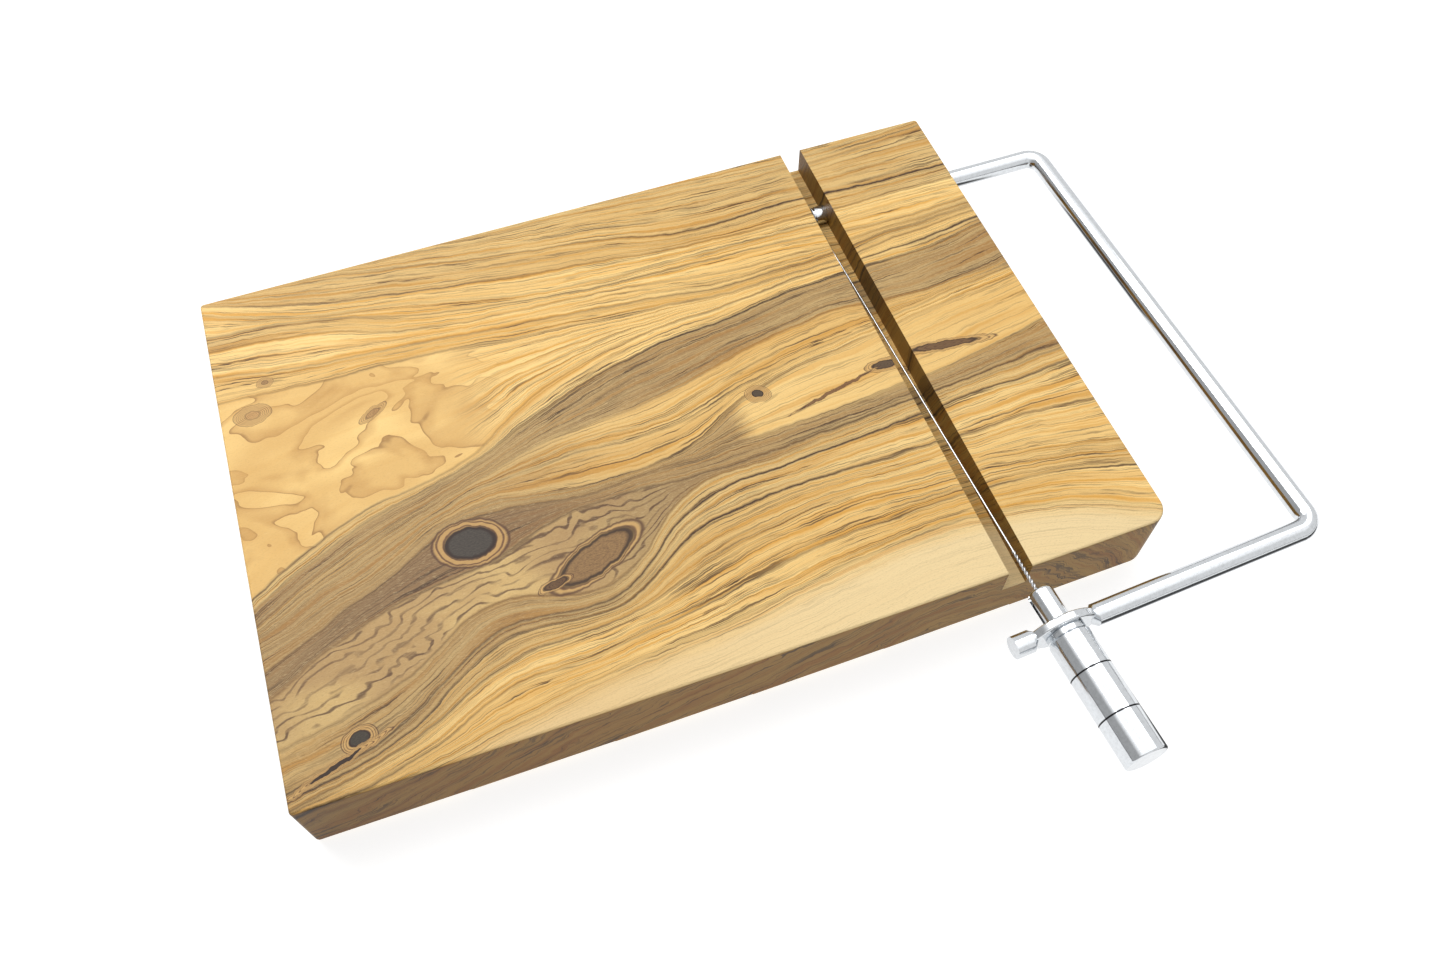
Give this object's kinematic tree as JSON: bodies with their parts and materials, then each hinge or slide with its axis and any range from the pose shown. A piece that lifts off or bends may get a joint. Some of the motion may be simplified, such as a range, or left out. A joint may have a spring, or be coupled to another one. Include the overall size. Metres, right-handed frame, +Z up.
{
  "type": "cheese wire cutter",
  "caption": "Wooden cheese board with a full-depth slot and a hinged steel bow that draws a taut cutting wire down into it; a turned handle tensions the wire.",
  "frame": {"origin": "centre of the board's underside", "axes": "+X to the side that the bow stands on, +Y to the back edge where the bow is hinged, +Z up"},
  "size_m": [0.29, 0.2333, 0.0322],
  "materials": {
    "olive_wood": "oiled, fine sanded, strong dark grain",
    "chromed_steel": "polished plate",
    "wire_steel": "drawn bright wire"
  },
  "bodies": {
    "board": {"board": "olive_wood"},
    "bow": {"bow": "chromed_steel", "cutting_wire": "wire_steel", "thrust_washer": "chromed_steel"},
    "stud": {"tension_stud": "chromed_steel", "anchor_pin": "wire_steel"},
    "handle": {"handle": "chromed_steel"}
  },
  "joints": [
    {"name": "bow_swing", "type": "hinge", "parent": "board", "child": "bow", "pos_m": [0.0768, 0.0627, 0.017], "axis": [-1, 0, 0], "range_deg": [-2.4, 174]},
    {"name": "handle_turn", "type": "hinge", "parent": "bow", "child": "handle", "pos_m": [0.0794, -0.10587, 0.02436], "axis": [0.0488, -0.9979, 0.0436], "range_deg": [0, 1800]},
    {"name": "stud_draw", "type": "slide", "parent": "bow", "child": "stud", "axis": [-0.0488, 0.9979, -0.0436], "range_m": [0, 0.004]}
  ],
  "couplings": [
    {"joint": "stud_draw", "follows": "handle_turn", "m_per_rad": 0.00012732}
  ]
}
